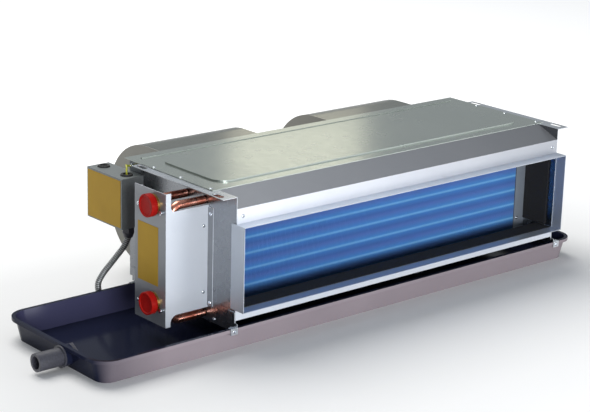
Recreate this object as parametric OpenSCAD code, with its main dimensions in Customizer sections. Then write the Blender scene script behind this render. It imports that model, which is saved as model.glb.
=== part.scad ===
// Ceiling fan coil unit: a cased water coil with two blowers over a long drain pan.
// Millimetres, +Z up, +X along the unit away from the water connections, air leaves towards -Y.

/* [Casing] */
// Length over the outer faces of the side plates
casing_len = 684; // [560:1:1000]
// Depth of the side plates from front edge to rear edge
casing_depth = 264; // [255:1:300]
// Level of the hanging flanges above the pan's underside
flange_z = 234; // [232:1:250]
// Width of the hanging flanges
flange_w = 25; // [22:1:40]
// Length of the hanging flanges from the front edge
flange_len = 223; // [200:1:225]
// Sheet thickness of the casing
sheet = 1; // [0.8:0.1:1.2]
// Depth at which the fan deck stands behind the front edge
deck_y = 224; // [215:1:226]

/* [Hanging slots] */
// Width of a hanging slot
slot_w = 9; // [8:0.5:11]
// Length of a hanging slot
slot_len = 22; // [16:1:30]
// Depth of the front slots behind the front edge
slot_front = 21; // [16:1:30]
// Distance of the rear slots from the flanges' rear end
slot_rear = 16; // [14:1:40]
// Distance of the slots outside the side plates
slot_out = 17.5; // [16:0.5:20]

/* [Outlet] */
// Height of the outlet collar over its outer faces
collar_h = 130; // [110:1:140]
// Level of the collar's underside
collar_z = 63; // [60:1:70]
// Length of the collar ahead of the casing
collar_out = 20; // [12:1:40]
// Lap of the collar's cheeks over the side plates
collar_lap = 10; // [6:1:14]
// Level of the front header's upper bend
bend_z = 216; // [206:1:222]
// Depth of the sloped band
slope_y = 44; // [30:1:50]
// Level of the front bottom rail's underside
rail_z = 46; // [44:1:52]

/* [Drain pan] */
// Overhang of the pan past the connection end
pan_left = 240; // [160:1:320]
// Overhang of the pan past the far end
pan_right = 58; // [10:1:70]
// Overhang of the pan ahead of the casing
pan_front = 6; // [5:1:10]
// Depth of the pan's rear rim behind the front edge
pan_back = 247; // [244:1:252]
// Height of the pan
pan_h = 37; // [34:1:37]
// Width of the pan's rim
pan_rim = 5; // [4:0.5:6]
// Wall of the pan
pan_t = 1.2; // [1:0.1:2]
// Corner radius at the pan's underside
pan_r = 20; // [14:1:30]
// Inset of the pan's walls from rim to underside
pan_draft = 8; // [5:0.5:10]
// Length of the drain spigot past the pan's rim
spigot_out = 42; // [30:1:60]
// Outer radius of the drain spigot
spigot_r = 13.5; // [12.8:0.1:14]
// Bore radius of the drain spigot
spigot_bore = 9.5; // [8:0.1:10.5]
// Level of the drain spigot's axis
spigot_z = 19; // [18.5:0.5:20]
// Depth of the drain spigot behind the front edge
spigot_y = 92; // [60:1:180]

/* [Coil] */
// Depth of the coil's face behind the front edge
coil_y = 64; // [64:1:70]
// Pitch of the tubes in one row
tube_pitch = 25; // [24:0.1:25]
// Pitch of the rows
row_pitch = 21.65; // [21:0.05:22]
// Outer radius of a tube
tube_r = 4.76; // [4.5:0.02:4.8]
// Wall of a tube
tube_t = 0.5; // [0.35:0.05:0.8]
// Number of fins drawn in the pack
fin_count = 40; // [20:1:90]
// Thickness of a fin
fin_t = 0.3; // [0.2:0.05:0.5]
// Inner face of the left end plate
coil_x0 = 23; // [23:0.5:30]
// Distance of the right end plate's inner face from the far side plate
coil_x1 = 25; // [25:0.5:30]
// Thickness of the foam strip over the coil
seal_t = 15.15; // [6:0.05:16]

/* [Water connections] */
// Distance of the bracket's outer face from the side plate
bracket_out = 77; // [74:1:84]
// Rear edge of the bracket behind the front edge
bracket_back = 142; // [136:1:150]
// Depth of the connectors behind the front edge
conn_y = 95; // [94:0.5:97]
// Level of the upper connector
conn_hi = 214; // [208:1:215]
// Level of the lower connector
conn_lo = 65; // [60:1:80]
// Radius of the connector's thread bore, Rc 3/4
conn_bore = 12.06; // [9:0.01:12.5]
// Length of the connector's socket ahead of the bracket
conn_out = 12; // [10:0.5:18]
// Length of the connector's thread bore
conn_len = 16; // [12:0.5:18]
// Outer radius of the connector's socket
conn_r = 15.5; // [14.5:0.1:16]
// Radius of a header pipe
header_r = 6.35; // [6:0.01:7]
// Bend radius of a header's end
turn_r = 12; // [10:0.5:16]
// Running clearance of caps, vents and shaft
play = 0.05; // [0.02:0.01:0.1]

/* [Electrics] */
// Width of the terminal box
box_w = 40; // [34:1:60]
// Depth of the terminal box's front face behind the front edge
box_y = 228; // [226:1:235]
// Length of the terminal box
box_len = 93; // [70:1:110]
// Level of the terminal box's underside
box_z = 133; // [125:1:140]
// Height of the terminal box
box_h = 80; // [60:1:85]
// Radius of the flexible conduit
conduit_r = 5; // [3:0.25:6]

/* [Blowers] */
// Width of one blower housing
blower_w = 198; // [180:1:210]
// Distance of each blower from the motor's end
blower_in = 26; // [18:1:32]
// Depth of the blower axis behind the front edge
axis_y = 322; // [321:1:326]
// Level of the blower axis
axis_z = 123; // [121:1:125]
// Radius of the scroll's lower half
scroll_r = 96; // [94:1:97]
// Rise of the scroll's outlet roof over its lower radius
scroll_rise = 10; // [6:1:10]
// Outer radius of an impeller
imp_r = 72; // [66:1:76]
// Number of blades on an impeller
blades = 28; // [16:1:40]
// Radius of the motor
motor_r = 50; // [46:1:52]
// Length of the motor
motor_len = 100; // [80:1:110]
// Radius of the motor's rotor core
core_r = 29.5; // [26:0.5:32]
// Radius of the shaft
shaft_r = 6; // [5:0.5:7]

/* [Hidden] */
$fn = 48;
collar_top = collar_z + collar_h;
rim_x0 = -pan_left;
rim_x1 = casing_len + pan_right;
pan_r1 = pan_r + pan_draft;
draft = pan_draft / (pan_h - 1);
pan_in0 = round(100 * (pan_r + draft * pan_t - pan_t)) / 100;
pan_in1 = round(100 * (pan_r + draft * (pan_h + 1) - pan_t)) / 100;
ax0 = rim_x0 + pan_rim + pan_r1;
ax1 = rim_x1 - pan_rim - pan_r1;
ay0 = -pan_front + pan_rim + pan_r1;
ay1 = pan_back - pan_rim - pan_r1;
rows = [coil_y + 11, coil_y + 11 + row_pitch, coil_y + 11 + 2 * row_pitch];
coil_d = 22 + 2 * row_pitch;
coil_h = 8 * tube_pitch;
coil_z1 = flange_z - seal_t;
coil_z0 = coil_z1 - coil_h;
fin_x0 = coil_x0 + 1;
fin_x1 = casing_len - coil_x1 - 1;
head_x = -bracket_out + 18;
bend_x = coil_x0 - 3;
face_y = rows[0] - header_r - 2.19 - sheet;
leg_x = -2;
socket_x = leg_x - 18;
box_y1 = box_y + box_len;
box_z1 = box_z + box_h;
scroll_r2 = scroll_r + scroll_rise / 2;
scroll_y2 = axis_y + scroll_r - scroll_r2;
scroll_z2 = axis_z + scroll_rise / 2;
scroll_top = scroll_z2 + scroll_r2;
throat_z = axis_z + 6;
motor_x0 = casing_len / 2 - motor_len / 2;
motor_x1 = casing_len / 2 + motor_len / 2;
bx = [motor_x0 - blower_in - blower_w, motor_x1 + blower_in];
x_min = rim_x0 - spigot_out;
x_max = casing_len + max(flange_w, pan_right);
y_max = max(axis_y + scroll_r, box_y1);
shift = [-(x_min + x_max) / 2, -(y_max - collar_out) / 2, 0];

function level(k) = coil_z1 - tube_pitch / 4 - tube_pitch * k;
function level2(k) = coil_z1 - 3 * tube_pitch / 4 - tube_pitch * k;

// A profile drawn in Y and Z, extruded along X
module along_x(x0, len) translate([x0, 0, 0]) rotate([90, 0, 90]) linear_extrude(len) children();

// A profile drawn in X and Z, extruded along Y
module along_y(y0, len) translate([0, y0 + len, 0]) rotate([90, 0, 0]) linear_extrude(len) children();

// A plate lying flat
module flat(z0, len) translate([0, 0, z0]) linear_extrude(len) children();

// A box between two corners
module span(a, b) translate(a) cube(b - a);

// A rectangle with round corners
module round_rect(x0, y0, x1, y1, r) {
  translate([x0 + r, y0]) square([x1 - x0 - 2 * r, y1 - y0]);
  translate([x0, y0 + r]) square([x1 - x0, y1 - y0 - 2 * r]);
  for (x = [x0 + r, x1 - r], y = [y0 + r, y1 - r]) translate([x, y]) circle(r);
}

// A cylinder along X
module rod(x0, x1, y, z, r) translate([x0, y, z]) rotate([0, 90, 0]) cylinder(h = x1 - x0, r = r);

// A hollow tube along X
module pipe(x0, x1, y, z, r, t) along_x(x0, x1 - x0) translate([y, z]) difference() {
  circle(r);
  circle(r - t);
}

// A drafted tray body between its corner axes
module tray(z0, z1, r0, r1) {
  along_x(ax0, ax1 - ax0) polygon([[ay0 - r0, z0], [ay1 + r0, z0], [ay1 + r1, z1], [ay0 - r1, z1]]);
  along_y(ay0, ay1 - ay0) polygon([[ax0 - r0, z0], [ax0, z0], [ax0, z1], [ax0 - r1, z1]]);
  along_y(ay0, ay1 - ay0) polygon([[ax1, z0], [ax1 + r0, z0], [ax1 + r1, z1], [ax1, z1]]);
  corner(ax0, ay0, 180, z0, z1, r0, r1);
  corner(ax1, ay0, 270, z0, z1, r0, r1);
  corner(ax1, ay1, 0, z0, z1, r0, r1);
  corner(ax0, ay1, 90, z0, z1, r0, r1);
}

// A quarter of a cone, for the tray's corners
module corner(x, y, a, z0, z1, r0, r1) translate([x, y, 0]) rotate([0, 0, a]) rotate_extrude(angle = 90)
  polygon([[0, z0], [r0, z0], [r1, z1], [0, z1]]);

// Long pressed tray with drafted walls, a flat rim with a turned lip and a boss for the spigot
module drain_pan() color("#26262c") difference() {
  union() {
    difference() {
      union() {
        tray(0, pan_h - 1, pan_r, pan_r1);
        flat(pan_h - 1, 1) round_rect(rim_x0, -pan_front, rim_x1, pan_back, pan_r1 + pan_rim);
        flat(pan_h - 5, 4.5) difference() {
          round_rect(rim_x0, -pan_front, rim_x1, pan_back, pan_r1 + pan_rim);
          round_rect(rim_x0 + pan_t, pan_t - pan_front, rim_x1 - pan_t, pan_back - pan_t, pan_r1 + pan_rim - pan_t);
        }
      }
      tray(pan_t, pan_h + 1, pan_in0, pan_in1);
    }
    rod(rim_x0, rim_x0 + 14, spigot_y, spigot_z, 15.5);
  }
  rod(rim_x0 - 5, rim_x0 + 20, spigot_y, spigot_z, 11.5);
}

// Hose tail with a flange and a neck through the pan's boss
module drain_spigot() color("#1c1c1f") difference() {
  union() {
    rod(rim_x0 - spigot_out, rim_x0 - 3, spigot_y, spigot_z, spigot_r);
    rod(rim_x0 - 3, rim_x0, spigot_y, spigot_z, 16.4);
    rod(rim_x0, rim_x0 + 22, spigot_y, spigot_z, 11.5);
  }
  rod(rim_x0 - spigot_out - 1, rim_x0 + 23, spigot_y, spigot_z, spigot_bore);
}

// Hexagon nut inside the pan that holds the spigot
module drain_locknut() color("#2a2a2d") along_x(rim_x0 + 14, 6) translate([spigot_y, spigot_z]) difference() {
  rotate(30) circle(r = 16.5, $fn = 6);
  circle(11.5);
}

// One strap from a side plate over the pan's front rim
module clip_front(x0) {
  span([x0 - 1.2, 0, pan_h], [x0, 16, pan_h + 22]);
  span([x0 - 13, -pan_front, pan_h], [x0, 0, pan_h + 1.2]);
  span([x0 - 1.2, -pan_front, pan_h], [x0, 0, pan_h + 6]);
  span([x0 - 13, -pan_front - 1.2, pan_h - 9], [x0, -pan_front, pan_h + 1.2]);
}

// One strap from a side plate over the pan's rear rim
module clip_rear(x0) {
  span([x0 - 1.2, pan_back - 7, pan_h], [x0, pan_back + 9, pan_h + 22]);
  span([x0 - 13, pan_back - 5, pan_h], [x0, pan_back, pan_h + 1.2]);
  span([x0 - 13, pan_back, pan_h - 9], [x0, pan_back + 1.2, pan_h + 1.2]);
}

// Four straps that hang the pan on the side plates
module pan_clips() color("#c9ccd0") {
  clip_front(0);
  clip_rear(0);
  translate([casing_len, 0, 0]) mirror([1, 0, 0]) clip_front(0);
  translate([casing_len, 0, 0]) mirror([1, 0, 0]) clip_rear(0);
}

// Outline of a side plate in Y and Z
module side_outline() polygon([
  [0, pan_h + 3], [14, pan_h - 9], [pan_back - 11, pan_h - 9], [pan_back - 11, pan_h + 7],
  [casing_depth, pan_h + 7], [casing_depth, flange_z], [0, flange_z]
]);

// Hanging flange with its two slots, drawn for the left side
module hanging_flange() flat(flange_z - sheet, sheet) difference() {
  translate([-flange_w, 0]) square([flange_w, flange_len]);
  for (y = [slot_front, flange_len - slot_rear]) translate([-slot_out, y]) {
    square([slot_w, slot_len - slot_w], center = true);
    for (s = [-1, 1]) translate([0, s * (slot_len - slot_w) / 2]) circle(slot_w / 2);
  }
}

// Left side plate, pierced for the eight feeder tubes
module left_side_plate() color("#a9aeb4") union() {
  along_x(0, sheet) difference() {
    side_outline();
    for (k = [0, 2, 4, 6]) translate([rows[2], level(k)]) circle(tube_r + 1.5);
    for (k = [0, 2, 4, 7]) translate([rows[0], level(k)]) circle(tube_r + 1.5);
  }
  hanging_flange();
}

// Right side plate
module right_side_plate() color("#a9aeb4") translate([casing_len, 0, 0]) mirror([1, 0, 0]) union() {
  along_x(0, sheet) side_outline();
  hanging_flange();
}

// Top panel with a raised field, a bead near its rear edge and a turned rear lip
module top_panel() color("#9da39d") union() {
  flat(flange_z, 1) difference() {
    translate([-10, slope_y]) square([casing_len + 20, casing_depth - slope_y]);
    round_rect(22, slope_y + 24, casing_len - 22, casing_depth - 46, 24);
  }
  flat(flange_z, 3) difference() {
    round_rect(21, slope_y + 23, casing_len - 21, casing_depth - 45, 25);
    round_rect(22, slope_y + 24, casing_len - 22, casing_depth - 46, 24);
  }
  flat(flange_z + 2, 1) round_rect(22, slope_y + 24, casing_len - 22, casing_depth - 46, 24);
  flat(flange_z + 1, 1) round_rect(8, casing_depth - 21, casing_len - 8, casing_depth - 16, 2.4);
  span([2, casing_depth - 1, flange_z - 4], [casing_len - 2, casing_depth, flange_z]);
}

// Sloped band and upright strip over the outlet
module front_header() color("#c4c6ca") along_x(sheet, casing_len - 2 * sheet) polygon([
  [0, collar_top], [1, collar_top], [1, bend_z - 0.6], [slope_y + 0.2, flange_z - 1],
  [slope_y + 16, flange_z - 1], [slope_y + 16, flange_z], [slope_y, flange_z], [0, bend_z]
]);

// Rectangular collar for the supply duct, with cheeks lapped over the side plates
module outlet_collar() color("#b4bac4") union() {
  along_x(-1, 1) translate([-collar_out, collar_z]) square([collar_out + collar_lap, collar_h]);
  along_x(casing_len, 1) translate([-collar_out, collar_z]) square([collar_out + collar_lap, collar_h]);
  span([0, -collar_out, collar_top - 1], [casing_len, 0, collar_top]);
  span([sheet, 0, collar_top - 1], [casing_len - sheet, 12, collar_top]);
  span([0, -collar_out, collar_z], [casing_len, 0, collar_z + 1]);
  span([sheet, 0, collar_z], [casing_len - sheet, 30, collar_z + 1]);
}

// Bent rail under the collar
module front_bottom_rail() color("#cfd2d8") along_x(sheet, casing_len - 2 * sheet) polygon([
  [0, rail_z], [22, rail_z], [22, rail_z + 1], [1, rail_z + 1], [1, collar_z], [0, collar_z]
]);

// Upright deck behind the coil, with the two blower openings and a folded top edge
module fan_deck() color("#a4a9ad") union() {
  along_y(deck_y, 1) difference() {
    translate([sheet, pan_h + 7]) square([casing_len - 2 * sheet, flange_z - pan_h - 7]);
    for (x = bx) translate([x + 2, throat_z + 1]) square([blower_w - 4, scroll_top - throat_z - 2]);
  }
  span([sheet, deck_y + 1, flange_z - 1], [casing_len - sheet, casing_depth - 14, flange_z]);
  span([sheet, deck_y + 1, pan_h + 7], [casing_len - sheet, deck_y + 12, pan_h + 8]);
}

// Black foam on the inner faces of both side plates ahead of the coil
module foam_linings() color("#15151a") {
  span([sheet, 13, collar_z + 2], [sheet + 3, coil_y - 1, collar_top - 2]);
  span([casing_len - sheet - 3, 13, collar_z + 2], [casing_len - sheet, coil_y - 1, collar_top - 2]);
}

// Foam strip between the coil and the top panel
module coil_top_seal() color("#1b1b20")
  span([fin_x0, coil_y + 2, coil_z1], [fin_x1, coil_y + coil_d - 2, flange_z]);

// Holes of the 24 tubes in a fin or end plate, in Y and Z
module tube_holes(r) for (k = [0:7]) {
  translate([rows[0], level(k)]) circle(r);
  translate([rows[1], level2(k)]) circle(r);
  translate([rows[2], level(k)]) circle(r);
}

// Fin pack: plates strung on sleeves that grip the four corner tubes
module coil_fins() color("#2f6fb5") union() {
  for (i = [0:fin_count - 1]) along_x(fin_x0 + (fin_x1 - fin_x0 - fin_t) * i / (fin_count - 1), fin_t) difference() {
    translate([coil_y, coil_z0]) square([coil_d, coil_h]);
    tube_holes(tube_r);
  }
  for (r = [0, 2], k = [0, 7]) pipe(fin_x0, fin_x1, rows[r], level(k), tube_r + 0.5, 0.5);
}

// End plate with a narrow front fold and a rear fold to the side plate, drawn for the left end
module end_plate() {
  along_x(coil_x0 - 1, 1) difference() {
    translate([coil_y, coil_z0]) square([coil_d, coil_h]);
    tube_holes(tube_r);
  }
  span([coil_x0 - 13, coil_y, coil_z0 + 20], [coil_x0 - 1, coil_y + 1, coil_z1]);
  span([sheet, coil_y + coil_d - 1, coil_z0 + 20], [coil_x0 - 1, coil_y + coil_d, coil_z1]);
}

// Left end plate of the coil
module coil_plate_left() color("#b7bcc2") union() {
  end_plate();
  span([coil_x0, coil_y, coil_z0 + 2], [fin_x0, coil_y + coil_d, coil_z0 + 4]);
}

// Right end plate of the coil
module coil_plate_right() color("#b7bcc2") translate([casing_len - coil_x1 + coil_x0, 0, 0]) mirror([1, 0, 0]) union() {
  along_x(coil_x0 - 1, 1) difference() {
    translate([coil_y, coil_z0]) square([coil_d, coil_h]);
    tube_holes(tube_r);
  }
  span([coil_x0 - coil_x1 + sheet, coil_y, coil_z0 + 20], [coil_x0 - 1, coil_y + 1, coil_z1]);
  span([coil_x0 - coil_x1 + sheet, coil_y + coil_d - 1, coil_z0 + 20], [coil_x0 - 1, coil_y + coil_d, coil_z1]);
  span([coil_x0, coil_y, coil_z0 + 2], [fin_x0, coil_y + coil_d, coil_z0 + 4]);
}

// Half turn between two tubes given as [Y, Z], opening towards -X unless left is set
module half_turn(x, a, b, left) {
  d = b - a;
  m = (a + b) / 2;
  translate([x, m[0], m[1]]) rotate([atan2(d[1], d[0]), 0, 0]) rotate([0, 0, left ? 90 : -90])
    rotate_extrude(angle = 180) translate([norm(d) / 2, 0]) difference() {
      circle(tube_r);
      circle(tube_r - tube_t);
    }
}

// One straight tube to the hairpins' bends
module run(x0, yz) pipe(x0, casing_len - coil_x1 + 2, yz[0], yz[1], tube_r, tube_t);

// Two tubes and the bend that joins them at the far end
module hairpin(y, z0, z1, x0, x1) union() {
  run(x0, [y, z0]);
  run(x1, [y, z1]);
  half_turn(casing_len - coil_x1 + 2, [y, z0], [y, z1], false);
}

// Start of a tube that reaches a header: in the header's bent end, or in its upright wall
function feed(k) = k == 0 || k == 7 ? socket_x : head_x + 4;

// Twelve copper hairpins; one leg of each circuit's first and last reaches its header
module coil_hairpins() color("#c07a52") for (k = [0, 2, 4, 6]) {
  hairpin(rows[2], level(k), level(k + 1), feed(k), bend_x);
  hairpin(rows[1], level2(k), level2(k + 1), bend_x, bend_x);
  hairpin(rows[0], level(k), level(k + 1), k < 6 ? feed(k) : bend_x, k < 6 ? bend_x : feed(k + 1));
}

// Eight brazed bends that carry the water from row to row
module return_bends() color("#c07a52") for (k = [0, 2, 4, 6]) {
  half_turn(bend_x, [rows[2], level(k + 1)], [rows[1], level2(k + 1)], true);
  half_turn(bend_x, [rows[1], level2(k)], [rows[0], level(k < 6 ? k + 1 : k)], true);
}

// Quarter bend of a pipe, from the angle given
module elbow(p, turn, a, bend, r) translate(p) rotate(turn) rotate([0, 0, a]) rotate_extrude(angle = 90)
  translate([bend, 0]) circle(r);

// Upright header pipe whose top turns towards the coil
module header(y, z0, x1, r) {
  translate([head_x, y, z0]) cylinder(h = level(0) - turn_r - z0, r = r);
  elbow([head_x + turn_r, y, level(0) - turn_r], [90, 0, 0], 90, turn_r, r);
  rod(head_x + turn_r, x1, y, level(0), r);
}

// Pipe from the upper connector, down and back to the supply header
module upper_tail(z1, r) {
  elbow([head_x - 9, conn_y, conn_hi - 9], [90, 0, 0], 0, 9, r);
  translate([head_x, conn_y, z1 + 9]) cylinder(h = conn_hi - z1 - 18, r = r);
  elbow([head_x, conn_y + 9, z1 + 9], [90, 0, 90], 180, 9, r);
  translate([head_x, conn_y + 9, z1]) rotate([-90, 0, 0]) cylinder(h = rows[2] - conn_y - 9, r = r);
}

// Supply header behind the connectors, fed from the upper one
module supply_header() color("#c07a52") difference() {
  union() {
    header(rows[2], level(6) - 12, leg_x, header_r);
    upper_tail(level(1) - 6, header_r - 0.6);
  }
  header(rows[2], level(6) - 11, socket_x, header_r - 1);
  upper_tail(level(1) - 6, header_r - 1.6);
  for (k = [2, 4, 6]) rod(head_x, head_x + 12, rows[2], level(k), tube_r);
  rod(socket_x - 1, leg_x + 1, rows[2], level(0), tube_r);
}

// Return header ahead of the connectors, with both ends turned and a branch to the lower connector
module return_pipe(x1, r) {
  header(rows[0], level(7) + turn_r, x1, r);
  elbow([head_x + turn_r, rows[0], level(7) + turn_r], [90, 0, 0], 180, turn_r, r);
  rod(head_x + turn_r, x1, rows[0], level(7), r);
  translate([head_x, rows[0], conn_lo]) rotate([-90, 0, 0]) cylinder(h = conn_y - 9 - rows[0], r = r - 0.6);
  elbow([head_x - 9, conn_y - 9, conn_lo], [0, 0, 0], 0, 9, r - 0.6);
}

// Return header, emptied through the lower connector
module return_header() color("#c07a52") difference() {
  return_pipe(leg_x, header_r);
  return_pipe(socket_x, header_r - 1);
  for (k = [2, 4]) rod(head_x, head_x + 12, rows[0], level(k), tube_r);
  for (k = [0, 7]) rod(socket_x - 1, leg_x + 1, rows[0], level(k), tube_r);
}

// Brass socket through the bracket, with a flange inside and a body for the vent screw
module connector(z) difference() {
  union() {
    rod(-bracket_out - conn_out, -bracket_out + 1, conn_y, z, conn_r);
    rod(-bracket_out + 1, -bracket_out + 6, conn_y, z, 18);
    rod(-bracket_out + 6, head_x - 9, conn_y, z, 9.8);
    rod(-bracket_out + 1, -bracket_out + 9, conn_y - 21.5, z - 7.5, 5.2);
  }
  rod(-bracket_out - conn_out - 1, -bracket_out - conn_out + conn_len, conn_y, z, conn_bore);
  rod(-bracket_out - conn_out - 1, head_x, conn_y, z, header_r - 1.6);
  rod(-bracket_out, -bracket_out + 7, conn_y - 21.5, z - 7.5, 2 + play);
}

// Upper brass connector
module supply_connector() color("#b88a4a") connector(conn_hi);

// Lower brass connector
module return_connector() color("#b88a4a") connector(conn_lo);

// Push-on cap over a connector's socket
module cap(z) difference() {
  rod(-bracket_out - conn_out - 3, -bracket_out - conn_out + 8, conn_y, z, 17.2);
  rod(-bracket_out - conn_out, -bracket_out - conn_out + 9, conn_y, z, conn_r + play);
}

// Upper red cap
module supply_cap() color("#c32020") cap(conn_hi);

// Lower red cap
module return_cap() color("#c32020") cap(conn_lo);

// Slotted vent screw
module vent_screw(z) difference() {
  union() {
    rod(-bracket_out - 5, -bracket_out, conn_y - 21.5, z - 7.5, 3.2);
    rod(-bracket_out, -bracket_out + 6, conn_y - 21.5, z - 7.5, 2);
  }
  span([-bracket_out - 6, conn_y - 25, z - 8], [-bracket_out - 3.5, conn_y - 18, z - 7]);
}

// Upper vent screw
module supply_vent_screw() color("#d6d6d2") vent_screw(conn_hi);

// Lower vent screw
module return_vent_screw() color("#d6d6d2") vent_screw(conn_lo);

// Folded bracket that carries the connectors, notched for the pipes
module connection_bracket() color("#cdd3dc") union() {
  along_y(face_y, sheet) difference() {
    translate([-bracket_out, pan_h - 5]) square([bracket_out, flange_z + 1 - pan_h + 5]);
    translate([-bracket_out + 21, 0]) square([bracket_out, pan_h + 12]);
    translate([-bracket_out + 9, 0]) square([13, pan_h]);
    translate([-bracket_out + 21, pan_h]) circle(12);
    translate([-bracket_out + 17, flange_z - 27]) square([bracket_out, 40]);
    translate([-bracket_out + 9, flange_z - 19]) square([13, 40]);
    translate([-bracket_out + 17, flange_z - 19]) circle(8);
  }
  along_x(-bracket_out, sheet) difference() {
    translate([face_y, pan_h - 5]) square([bracket_back - face_y, flange_z + 1 - pan_h + 5]);
    for (z = [conn_hi, conn_lo]) {
      translate([conn_y, z]) circle(conn_r);
      translate([conn_y - 21.5, z - 7.5]) circle(2.6);
    }
  }
  span([-sheet, face_y - 12, pan_h + 15], [0, face_y, flange_z - 30]);
  span([-bracket_out, bracket_back - sheet, pan_h + 7], [-bracket_out + 14, bracket_back, flange_z - 4]);
}

// Folded steel box for the terminals, open towards the cover
module terminal_box() color("#8b8d8c") difference() {
  span([-box_w + 1.2, box_y, box_z], [0, box_y1, box_z1]);
  span([-box_w, box_y + 1.2, box_z + 1.2], [-1.2, box_y1 - 1.2, box_z1 - 1.2]);
  for (y = [box_y + 16, box_y1 - 16]) translate([-box_w / 2, y, box_z1 - 3]) cylinder(h = 4, r = 8);
  translate([-box_w / 2, box_y + 12, box_z - 1]) cylinder(h = 4, r = 7);
}

// Flat cover with a lip inside the box
module terminal_cover() color("#8f9190") union() {
  span([-box_w, box_y, box_z], [-box_w + 1.2, box_y1, box_z1]);
  span([-box_w + 1.2, box_y + 1.2, box_z + 30], [-box_w + 9, box_y + 2.2, box_z1 - 10]);
  span([-box_w + 1.2, box_y1 - 2.2, box_z + 10], [-box_w + 9, box_y1 - 1.2, box_z1 - 10]);
}

// Row of terminals on the box's back wall
module terminal_block() color("#d8d8d2") difference() {
  span([-15.2, box_y + 20, box_z + 30], [-1.2, box_y1 - 15, box_z + 50]);
  for (i = [0:6]) rod(-16, -8, box_y + 26 + 7.5 * i, box_z + 40, 2.2);
}

// Two black grommets in the box's roof
module box_grommets() color("#141414") for (y = [box_y + 16, box_y1 - 16])
  translate([-box_w / 2, y, box_z1]) rotate_extrude() polygon([
    [0, -1], [7, -1], [7, -3.2], [9.5, -3.2], [9.5, -1.2], [8, -1.2], [8, 0], [10, 0], [9, 2.4], [6, 2.4], [5, 0.4], [0, 0.4]
  ]);

// Black gland under the box that grips the conduit
module cable_gland() color("#101012") translate([-box_w / 2, box_y + 12, box_z]) difference() {
  union() {
    cylinder(h = 3.2, r = 7);
    translate([0, 0, 1.2]) cylinder(h = 2, r = 9.5);
    translate([0, 0, -9]) cylinder(h = 9, r = 10, $fn = 6);
    translate([0, 0, -17]) cylinder(h = 8, r1 = 7, r2 = 9.5);
  }
  translate([0, 0, -18]) cylinder(h = 24, r = conduit_r + 0.4);
}

// Places the conduit passes, from the gland to the motor
conduit_path = [
  [-box_w / 2, box_y + 12, box_z + 2], [-box_w / 2, box_y + 12, box_z - 18], [-box_w / 2 - 6, box_y + 13, box_z - 30],
  [-box_w / 2 - 17, box_y + 16, box_z - 44], [-box_w / 2 - 29, box_y + 20, box_z - 59], [-58, pan_back + 8, 58],
  [-63, pan_back + 12, 44], [-60, pan_back + 15, 29.4], [-51.6, pan_back + 18, 16.7], [-38.9, pan_back + 20, 8.3],
  [-24, pan_back + 21, 5.3], [16, pan_back + 21, 5.3], [66, pan_back + 23, 5.3], [140, pan_back + 34, 5.3],
  [220, pan_back + 62, 5.3], [casing_len / 2 - 50, axis_y + 30, 5.3], [casing_len / 2 - 31, axis_y + 30, 9.1],
  [casing_len / 2 - 14.6, axis_y + 30, 19.9], [casing_len / 2 - 3.8, axis_y + 30, 36.2],
  [casing_len / 2, axis_y + 30, 55.3], [casing_len / 2, axis_y + 30, axis_z - 47]
];

function smooth(p, i, t) =
  let (n = len(p) - 1, a = p[max(i - 1, 0)], b = p[i], c = p[i + 1], d = p[min(i + 2, n)])
  0.5 * (2 * b + (c - a) * t + (2 * a - 5 * b + 4 * c - d) * t * t + (3 * b - a - 3 * c + d) * t * t * t);
function route(p, n) = [for (i = [0:len(p) - 2], k = [0:n - 1]) smooth(p, i, k / n), p[len(p) - 1]];

// Round cord through a list of places
module cord(p, r, sides) {
  n = len(p);
  u = [for (i = [0:n - 1]) let (d = p[min(i + 1, n - 1)] - p[max(i - 1, 0)]) d / norm(d)];
  v = [for (i = [0:n - 1]) let (s = cross(u[i], [0.31, 0.87, 0.38])) s / norm(s)];
  w = [for (i = [0:n - 1]) cross(u[i], v[i])];
  points = [for (i = [0:n - 1], k = [0:sides - 1]) p[i] + r * (cos(360 * k / sides) * v[i] + sin(360 * k / sides) * w[i])];
  walls = [for (i = [0:n - 2], k = [0:sides - 1]) let (a = i * sides + k, b = i * sides + (k + 1) % sides)
    [a, a + sides, b + sides, b]];
  start = [[for (k = [0:sides - 1]) k]];
  end = [[for (k = [0:sides - 1]) (n - 1) * sides + sides - 1 - k]];
  polyhedron(points, concat(walls, start, end));
}

// Flexible conduit from the terminal box to the motor
module conduit() color("#8a8c8e") cord(route(conduit_path, 5), conduit_r, 10);

// Earth wire from the box's front grommet to the earth screw on the side plate
module earth_wire() color("#b5b53a") cord(route([
  [-box_w / 2, box_y + 16, box_z1 + 0.4], [-box_w / 2, box_y + 16, box_z1 + 6], [-box_w / 2 + 3, box_y + 20, box_z1 + 11],
  [-box_w / 2 + 8, box_y + 28, box_z1 + 12], [-7, box_y + 31, box_z1 + 9.5], [-2.05, box_y + 31, box_z1 + 9]
], 5), 1.5, 8);

// Outline of a scroll in Y and Z, drawn in by d
module scroll(d) {
  translate([axis_y, axis_z]) circle(scroll_r - d);
  translate([scroll_y2, scroll_z2]) circle(scroll_r2 - d);
  translate([axis_y, axis_z]) square([scroll_r - d, scroll_z2 - axis_z]);
  translate([deck_y + 1, throat_z]) square([scroll_y2 - deck_y - 1, scroll_top - d - throat_z]);
}

// Scroll sheet of one blower, open at the deck
module blower_wrap(x) union() {
  along_x(x + 1, blower_w - 2) difference() {
    intersection() {
      scroll(0);
      translate([deck_y + 1, 0]) square([400, 400]);
    }
    scroll(1);
    translate([deck_y, throat_z]) square([60, scroll_top - 1 - throat_z]);
  }
  along_y(deck_y + 1, 1) difference() {
    translate([x - 8, throat_z - 8]) square([blower_w + 16, scroll_top - throat_z + 11]);
    translate([x + 2, throat_z + 1]) square([blower_w - 4, scroll_top - throat_z - 2]);
  }
}

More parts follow.
